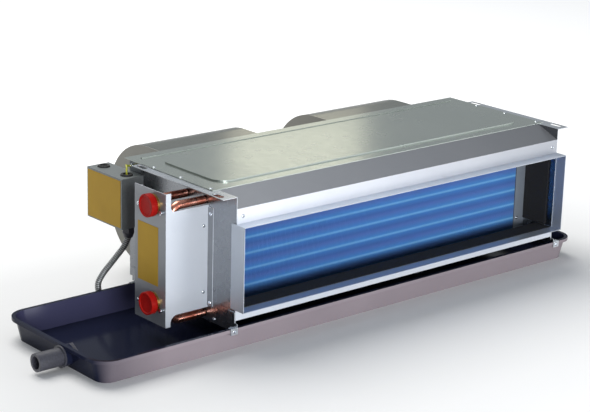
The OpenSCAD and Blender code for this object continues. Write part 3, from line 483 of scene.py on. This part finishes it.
def port_cap(name, node, body):
    rim_width, dish_depth, dish_taper = 0.0026, 0.0016, 0.96
    skirt_wall, skirt_depth = 0.0016, 0.0078
    rolled_edge = 0.0008
    low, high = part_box(node)
    middle = (low + high) / 2
    bpy.ops.object.select_all(action="DESELECT")
    bpy.ops.mesh.primitive_cylinder_add(vertices=48, radius=(high.z - low.z) / 2, depth=high.x - low.x,
                                        location=middle, rotation=(0, -math.pi / 2, 0))
    made = bpy.context.object
    made.name = name
    bpy.ops.object.transform_apply(location=True, rotation=True, scale=True)
    select_faces(made, lambda face: face.normal.x < -0.9)
    bpy.ops.mesh.inset(thickness=rim_width)
    bpy.ops.mesh.extrude_region_move(TRANSFORM_OT_translate={"value": (dish_depth, 0, 0)})
    bpy.ops.transform.resize(value=(1, dish_taper, dish_taper))
    bpy.ops.object.mode_set(mode="OBJECT")
    select_faces(made, lambda face: face.normal.x > 0.9)
    bpy.ops.mesh.inset(thickness=skirt_wall)
    bpy.ops.mesh.extrude_region_move(TRANSFORM_OT_translate={"value": (-skirt_depth, 0, 0)})
    bpy.ops.object.mode_set(mode="OBJECT")
    edge = made.modifiers.new("edge", "BEVEL")
    edge.width = rolled_edge
    edge.segments = 3
    edge.limit_method = "ANGLE"
    edge.angle_limit = math.radians(40)
    bpy.ops.object.modifier_apply(modifier="edge")
    bpy.ops.object.shade_smooth_by_angle(angle=math.radians(35))
    made.data.materials.append(waxy)
    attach(made, body)
    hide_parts(node)


port_cap("upper_port_cap", "supply_cap", "upper_cap")
port_cap("lower_port_cap", "return_cap", "lower_cap")


# Screws and vent screws: steel with bright zinc plate, driven from outside.
# The heads are low pans with a crossed slot; the plate is clean and shiny, a little blue.
plate, tree = new_material("bright_zinc_plate")
where = add(tree, "TexCoord")
cloud = add(tree, "TexNoise", Vector=where.outputs["Object"], Scale=300.0, Detail=2.0)
tone = add(tree, "ValToRGB", Fac=cloud.outputs["Fac"])
tone.color_ramp.elements[0].color = colour("#c3c9d2")
tone.color_ramp.elements[1].color = colour("#e8ecf0")
metal = add(tree, "BsdfPrincipled", Base_Color=tone.outputs["Color"], Roughness=0.24)
metal.inputs["Metallic"].default_value = 1.0
add(tree, "OutputMaterial", Surface=metal.outputs[0])
dress(plate, "supply_vent_screw", "return_vent_screw")


def pan_head():
    head_radius, head_height, crown_share, crown_edge = 0.0034, 0.002, 0.72, 0.0006
    slot_length, slot_width, cutter_height, cutter_middle = 0.0034, 0.0007, 0.0014, 0.0018
    bpy.ops.object.select_all(action="DESELECT")
    bpy.ops.mesh.primitive_cylinder_add(
        vertices=24, radius=head_radius, depth=head_height, location=(0, 0, head_height / 2))
    made = bpy.context.object
    select_faces(made, lambda face: face.normal.z > 0.9)
    bpy.ops.transform.resize(value=(crown_share, crown_share, 1))
    bpy.ops.mesh.bevel(offset=crown_edge, segments=2)
    bpy.ops.object.mode_set(mode="OBJECT")
    for turn in (0, math.pi / 2):
        bpy.ops.mesh.primitive_cube_add(size=1, location=(0, 0, cutter_middle), rotation=(0, 0, turn))
        cutter = bpy.context.object
        cutter.scale = (slot_length, slot_width, cutter_height)
        bpy.context.view_layer.objects.active = made
        slot_cut = made.modifiers.new("slot_cut", "BOOLEAN")
        slot_cut.object = cutter
        slot_cut.solver = "EXACT"
        bpy.ops.object.modifier_apply(modifier="slot_cut")
        bpy.data.objects.remove(cutter)
    return made


def screw_group(name, node, places):
    heads = []
    for place, out in places:
        made = pan_head()
        turn = Vector((0, 0, 1)).rotation_difference(Vector(out)).to_matrix().to_4x4()
        made.matrix_world = Matrix.Translation(at(*place)) @ turn
        heads.append(made)
    bpy.ops.object.select_all(action="DESELECT")
    for made in heads:
        made.select_set(True)
    bpy.context.view_layer.objects.active = heads[0]
    bpy.ops.object.join()
    bpy.ops.object.transform_apply(location=True, rotation=True, scale=True)
    heads[0].name = name
    bpy.ops.object.shade_smooth_by_angle(angle=math.radians(35))
    heads[0].data.materials.clear()
    heads[0].data.materials.append(plate)
    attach(heads[0], "unit")
    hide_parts(node)


up_out, front_out, left_out = (0, 0, 1), (0, -1, 0), (-1, 0, 0)
panel_face = 235
panel_sides, panel_rows = (-5, 689), (54, 126, 193)
screw_group("panel_screw_heads", "panel_screws",
            [((x, y, panel_face), up_out) for x in panel_sides for y in panel_rows])
screw_group("frame_screw_heads", "frame_screws", [
    ((-8.5, 65.46, 74), front_out),
    ((-8.5, 65.46, 176), front_out),
    ((-1, 59.46, 57), left_out),
    ((-1, 59.46, 194), left_out),
    ((-77, 134, 57), left_out),
    ((-77, 134, 206), left_out),
    ((12, 0, 204), front_out),
    ((672, 0, 204), front_out),
    ((-6.5, -7.2, 33), front_out),
    ((690.5, -7.2, 33), front_out),
    ((0, 50, 34), left_out),
    ((0, 259, 222), left_out),
    ((666, 64, 67), front_out),
])


# Terminal box and cover: bent steel sheet with grey paint.
# The paint is half matt with an orange peel of about 3 mm.
grey_paint, tree = new_material("grey_paint")
where = add(tree, "TexCoord")
peel = add(tree, "TexNoise", Vector=where.outputs["Object"], Scale=300.0, Detail=2.0)
tone = add(tree, "ValToRGB", Fac=peel.outputs["Fac"])
tone.color_ramp.elements[0].color = colour("#666b6c")
tone.color_ramp.elements[1].color = colour("#767b7b")
ripple = add(tree, "Bump", Strength=0.1, Distance=0.0004, Height=peel.outputs["Fac"])
satin = add(tree, "BsdfPrincipled", Base_Color=tone.outputs["Color"], Roughness=0.4, Normal=ripple.outputs[0])
add(tree, "OutputMaterial", Surface=satin.outputs[0])
dress(grey_paint, "terminal_box", "terminal_cover")


# Yellow plates: two bare plates of lacquered aluminium, stuck to the bracket and to the box's cover.
# The lacquer is satin and a little uneven, in clouds of about 35 mm.
yellow, tree = new_material("yellow_lacquer")
where = add(tree, "TexCoord")
cloud = add(tree, "TexNoise", Vector=where.outputs["Object"], Scale=28.0, Detail=4.0)
tone = add(tree, "ValToRGB", Fac=cloud.outputs["Fac"])
tone.color_ramp.elements[0].color = colour("#94730a")
tone.color_ramp.elements[1].color = colour("#a88615")
satin = add(tree, "BsdfPrincipled", Base_Color=tone.outputs["Color"], Roughness=0.46)
satin.inputs["Metallic"].default_value = 0.5
add(tree, "OutputMaterial", Surface=satin.outputs[0])
bar("bracket_plate", (-77.5, 84, 91), (-77, 134, 181), 0.00018, yellow)
bar("box_plate", (-40.5, 231, 135), (-40, 319, 210), 0.00018, yellow)


# Terminal block: a strip of wire clamps in a white nylon moulding, screwed down inside the box.
# Moulded nylon is milky and half matt, with faint clouds of about 5 mm.
white, tree = new_material("white_nylon")
where = add(tree, "TexCoord")
cloud = add(tree, "TexNoise", Vector=where.outputs["Object"], Scale=200.0, Detail=2.0)
tone = add(tree, "ValToRGB", Fac=cloud.outputs["Fac"])
tone.color_ramp.elements[0].color = colour("#d3d2ca")
tone.color_ramp.elements[1].color = colour("#e2e1da")
dull = add(tree, "BsdfPrincipled", Base_Color=tone.outputs["Color"], Roughness=0.45)
add(tree, "OutputMaterial", Surface=dull.outputs[0])
dress(white, "terminal_block")


# Grommets in the box's roof: rings of soft black rubber, pushed into punched holes.
# Rubber is dull, with a fine bloom drawn about 2 mm across.
rubber, tree = new_material("black_rubber")
where = add(tree, "TexCoord")
cloud = add(tree, "TexNoise", Vector=where.outputs["Object"], Scale=500.0, Detail=2.0)
tone = add(tree, "ValToRGB", Fac=cloud.outputs["Fac"])
tone.color_ramp.elements[0].color = colour("#101010")
tone.color_ramp.elements[1].color = colour("#1d1d1d")
dull = add(tree, "BsdfPrincipled", Base_Color=tone.outputs["Color"], Roughness=0.6)
add(tree, "OutputMaterial", Surface=dull.outputs[0])
dress(rubber, "box_grommets")


# Conduit: a flexible hose wound from steel strip, from the gland under the box to the motor.
# Each turn of the strip stands up as a ridge, 3 mm from the next, and the groove between is painted dark:
# painted shade.
def smooth_route(points, cuts):
    gaps = [(b - a).length for a, b in zip(points, points[1:])]
    headings = [(b - a) / gap for a, b, gap in zip(points, points[1:], gaps)]
    turns = [headings[0]]
    for i in range(1, len(points) - 1):
        turns.append((headings[i - 1] * gaps[i] + headings[i] * gaps[i - 1]) / (gaps[i - 1] + gaps[i]))
    turns.append(headings[-1])
    made = []
    for i, gap in enumerate(gaps):
        a, b, c, d = points[i], points[i + 1], turns[i] * gap, turns[i + 1] * gap
        for k in range(cuts):
            t = k / cuts
            bend = (2 * t ** 3 - 3 * t * t + 1) * a + (3 * t * t - 2 * t ** 3) * b
            made.append(bend + (t ** 3 - 2 * t * t + t) * c + (t ** 3 - t * t) * d)
    made.append(points[-1])
    return made


def even_steps(points, step):
    made = [points[0]]
    ahead = 0.0
    for a, b in zip(points, points[1:]):
        length = (b - a).length
        while ahead + step <= length:
            ahead += step
            made.append(a.lerp(b, ahead / length))
        ahead -= length
    if (made[-1] - points[-1]).length < step / 2:
        made.pop()
    return made + [points[-1]]


def tube(name, line, radii, sides, material):
    corners = []
    # The first side is any direction that neither cord runs along.
    across = Vector((0.31, 0.87, 0.38))
    for i, place in enumerate(line):
        along = (line[min(i + 1, len(line) - 1)] - line[max(i - 1, 0)]).normalized()
        across = (across - across.dot(along) * along).normalized()
        beside = along.cross(across)
        for k in range(sides):
            turn = 2 * math.pi * k / sides
            outwards = math.cos(turn) * across + math.sin(turn) * beside
            corners.append(place + radii[i % len(radii)] * outwards)
    faces = [list(range(sides))[::-1], [len(corners) - sides + k for k in range(sides)]]
    for i in range(len(line) - 1):
        for k in range(sides):
            a, b = i * sides + k, i * sides + (k + 1) % sides
            faces.append([a, b, b + sides, a + sides])
    mesh = bpy.data.meshes.new(name)
    mesh.from_pydata(corners, [], faces)
    made = bpy.data.objects.new(name, mesh)
    bpy.context.scene.collection.objects.link(made)
    mesh.materials.append(material)
    mesh.polygons.foreach_set("use_smooth", [True] * len(mesh.polygons))
    groove = mesh.attributes.new("groove", "FLOAT", "POINT")
    sunk = [float(radii[i // sides % len(radii)] < max(radii)) for i in range(len(corners))]
    groove.data.foreach_set("value", sunk)
    return made


conduit_places = [
    (-20, 240, 135), (-20, 240, 115), (-26, 241, 103), (-37, 244, 89), (-49, 248, 74), (-58, 255, 58),
    (-63, 259, 44), (-60, 262, 29.4), (-51.6, 265, 16.7), (-38.9, 267, 8.3), (-24, 268, 5.3), (16, 268, 5.3),
    (66, 270, 5.3), (140, 281, 5.3), (220, 309, 5.3), (292, 352, 5.3), (311, 352, 9.1), (327.4, 352, 19.9),
    (338.2, 352, 36.2), (342, 352, 55.3), (342, 352, 76),
]
resting = min(p[2] for p in conduit_places) / 1000
free_line = smooth_route([at(*p) for p in conduit_places], 24)
conduit_line = [Vector((p.x, p.y, max(p.z, resting))) for p in free_line]
hose, tree = new_material("wound_steel_strip")
where = add(tree, "TexCoord")
cloud = add(tree, "TexNoise", Vector=where.outputs["Object"], Scale=80.0, Detail=3.0)
tone = add(tree, "ValToRGB", Fac=cloud.outputs["Fac"])
tone.color_ramp.elements[0].color = colour("#97999a")
tone.color_ramp.elements[1].color = colour("#bfc1c1")
# The sunk rings are painted dark, as painted shade in the grooves.
groove = add(tree, "Attribute", {"attribute_name": "groove"})
painted_groove_shade = add(tree, "Mix", {"data_type": "RGBA"},
              i0=groove.outputs["Fac"], i6=tone.outputs["Color"], i7=colour("#2a2b2b"))
metal = add(tree, "BsdfPrincipled", Base_Color=painted_groove_shade.outputs[2], Roughness=0.38)
metal.inputs["Metallic"].default_value = 0.7
add(tree, "OutputMaterial", Surface=metal.outputs[0])
ridge_radius, groove_radius = 0.005, 0.0043
ridge_pitch = 0.003
turn_radii = (ridge_radius, ridge_radius, groove_radius, groove_radius)
winding_line = even_steps(conduit_line, ridge_pitch / len(turn_radii))
conduit = tube("conduit_hose", winding_line, turn_radii, 16, hose)
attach(conduit, "unit")
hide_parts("conduit")


# Earth wire: a short insulated wire from the box's front grommet to the earth screw on the side plate.
# Its covering is yellow with green stripes that slant across it.
wire_places = [
    (-20, 244, 213.4), (-20, 244, 219), (-17, 248, 224), (-12, 256, 225), (-7, 259, 222.5), (-2.05, 259, 222),
]
wire_line = smooth_route([at(*p) for p in wire_places], 10)
covering, tree = new_material("striped_covering")
where = add(tree, "TexCoord")
stripes = add(tree, "TexWave", {"wave_type": "BANDS", "bands_direction": "DIAGONAL"},
              Vector=where.outputs["Object"], Scale=190.0)
tone = add(tree, "ValToRGB", Fac=stripes.outputs["Fac"])
tone.color_ramp.elements[0].position = 0.45
tone.color_ramp.elements[0].color = colour("#5f8a2f")
tone.color_ramp.elements[1].position = 0.55
tone.color_ramp.elements[1].color = colour("#d9c93a")
soft = add(tree, "BsdfPrincipled", Base_Color=tone.outputs["Color"], Roughness=0.4)
add(tree, "OutputMaterial", Surface=soft.outputs[0])
wire_radius = 0.0015
earth = tube("earth_lead", wire_line, (wire_radius,), 12, covering)
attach(earth, "unit")
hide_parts("earth_wire")


# Blowers: scroll sheets and end plates of thin galvanised steel, with rolled inlet rings.
# The sheet is made a warmer and darker grey than the casing's: the warmth is its colour, the darkness painted
# shade.
scroll_zinc = galvanised("galvanised_scroll", "#95968e", "#a2a39b", 0.6, 0.24)
end_zinc = galvanised("galvanised_ends", "#b5b4ac", "#c1c0b8", 0.36, 0.36)
dress(scroll_zinc, "left_blower_wrap", "right_blower_wrap")
dress(end_zinc, "left_blower_ends", "right_blower_ends")


# Motor: a rolled steel body between two die-cast aluminium bells, with a stack of steel laminations inside.
# The body's dark grey paint is satin, the castings have a grain drawn about 2 mm across, and the
# laminations are drawn as leaves of about 1 mm, thicker than they are.
motor_paint, tree = new_material("dark_motor_paint")
where = add(tree, "TexCoord")
peel = add(tree, "TexNoise", Vector=where.outputs["Object"], Scale=240.0, Detail=2.0)
tone = add(tree, "ValToRGB", Fac=peel.outputs["Fac"])
tone.color_ramp.elements[0].color = colour("#2f3134")
tone.color_ramp.elements[1].color = colour("#3d3f43")
satin = add(tree, "BsdfPrincipled", Base_Color=tone.outputs["Color"], Roughness=0.38)
add(tree, "OutputMaterial", Surface=satin.outputs[0])
dress(motor_paint, "motor_body")
cast, tree = new_material("cast_aluminium")
where = add(tree, "TexCoord")
grain = add(tree, "TexNoise", Vector=where.outputs["Object"], Scale=500.0, Detail=4.0)
tone = add(tree, "ValToRGB", Fac=grain.outputs["Fac"])
tone.color_ramp.elements[0].color = colour("#84878a")
tone.color_ramp.elements[1].color = colour("#a8abad")
raised = add(tree, "Bump", Strength=0.2, Distance=0.0005, Height=grain.outputs["Fac"])
metal = add(tree, "BsdfPrincipled", Base_Color=tone.outputs["Color"], Roughness=0.5, Normal=raised.outputs[0])
metal.inputs["Metallic"].default_value = 1.0
add(tree, "OutputMaterial", Surface=metal.outputs[0])
dress(cast, "motor_bells")
laminated, tree = new_material("steel_laminations")
where = add(tree, "TexCoord")
leaves = add(tree, "TexWave", {"wave_type": "BANDS", "bands_direction": "X"},
             Vector=where.outputs["Object"], Scale=320.0)
tone = add(tree, "ValToRGB", Fac=leaves.outputs["Fac"])
tone.color_ramp.elements[0].color = colour("#43382f")
tone.color_ramp.elements[1].color = colour("#6a5c50")
metal = add(tree, "BsdfPrincipled", Base_Color=tone.outputs["Color"], Roughness=0.5)
metal.inputs["Metallic"].default_value = 0.8
add(tree, "OutputMaterial", Surface=metal.outputs[0])
dress(laminated, "motor_stator")


# Rotor: a ground steel shaft through the motor, with a wheel of pressed aluminium sheet at each end.
# The shaft is bright and nearly smooth; the wheels are pale grey, with the same soft patches as the casing.
ground, tree = new_material("ground_steel")
where = add(tree, "TexCoord")
grain = add(tree, "TexNoise", Vector=where.outputs["Object"], Scale=600.0, Detail=2.0)
tone = add(tree, "ValToRGB", Fac=grain.outputs["Fac"])
tone.color_ramp.elements[0].color = colour("#aeb2b6")
tone.color_ramp.elements[1].color = colour("#d2d5d8")
metal = add(tree, "BsdfPrincipled", Base_Color=tone.outputs["Color"], Roughness=0.22)
metal.inputs["Metallic"].default_value = 1.0
add(tree, "OutputMaterial", Surface=metal.outputs[0])
dress(ground, "rotor_shaft")
wheel_sheet = galvanised("pressed_wheel", "#a9adb1", "#c6cacd", 0.8, 0.30)
dress(wheel_sheet, "left_impeller", "right_impeller")


# Last, the scene is brought up to date.
bpy.context.view_layer.update()
